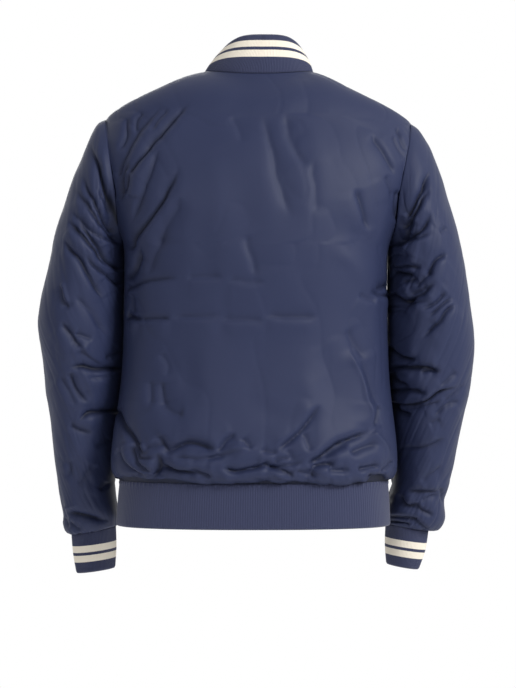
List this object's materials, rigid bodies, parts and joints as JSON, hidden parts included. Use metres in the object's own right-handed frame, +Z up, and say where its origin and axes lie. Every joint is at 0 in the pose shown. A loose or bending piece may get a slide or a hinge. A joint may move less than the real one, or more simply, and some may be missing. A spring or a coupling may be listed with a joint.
{
  "type": "bomber jacket",
  "caption": "Navy zip-up bomber jacket in its worn form, hollow, with a striped rib-knit stand collar and cuffs and a plain rib-knit hem band.",
  "frame": {"origin": "base of the neck, midway between the two points where the shoulder seams meet the collar, where the wearer's shoulders hold the jacket", "axes": "+Z up, -Y out of the front with the zip, +X to the wearer's left"},
  "size_m": [0.617, 0.2845, 0.7665],
  "materials": {
    "shell_navy": "smooth woven, low sheen",
    "knit_navy": "rib knit, matt",
    "tape_navy": "woven tape, matt",
    "dark_metal": "dark plated, satin"
  },
  "bodies": {
    "jacket": {"back": "shell_navy", "front_left": "shell_navy", "front_right": "shell_navy", "sleeve_left": "shell_navy", "sleeve_right": "shell_navy", "collar": "knit_navy", "cuff_left": "knit_navy", "cuff_right": "knit_navy", "hem_rib": "knit_navy", "zip_tape_left": "tape_navy", "zip_tape_right": "tape_navy", "zip_teeth_left": "dark_metal", "zip_teeth_right": "dark_metal", "zip_box": "dark_metal", "zip_slider": "dark_metal"},
    "zip_pull": {"zip_pull": "dark_metal"}
  },
  "joints": [
    {"name": "pull_swing", "type": "hinge", "parent": "jacket", "child": "zip_pull", "pos_m": [0.0012, -0.09307, -0.09541], "axis": [-1, 0, 0], "range_deg": [0, 140]}
  ]
}
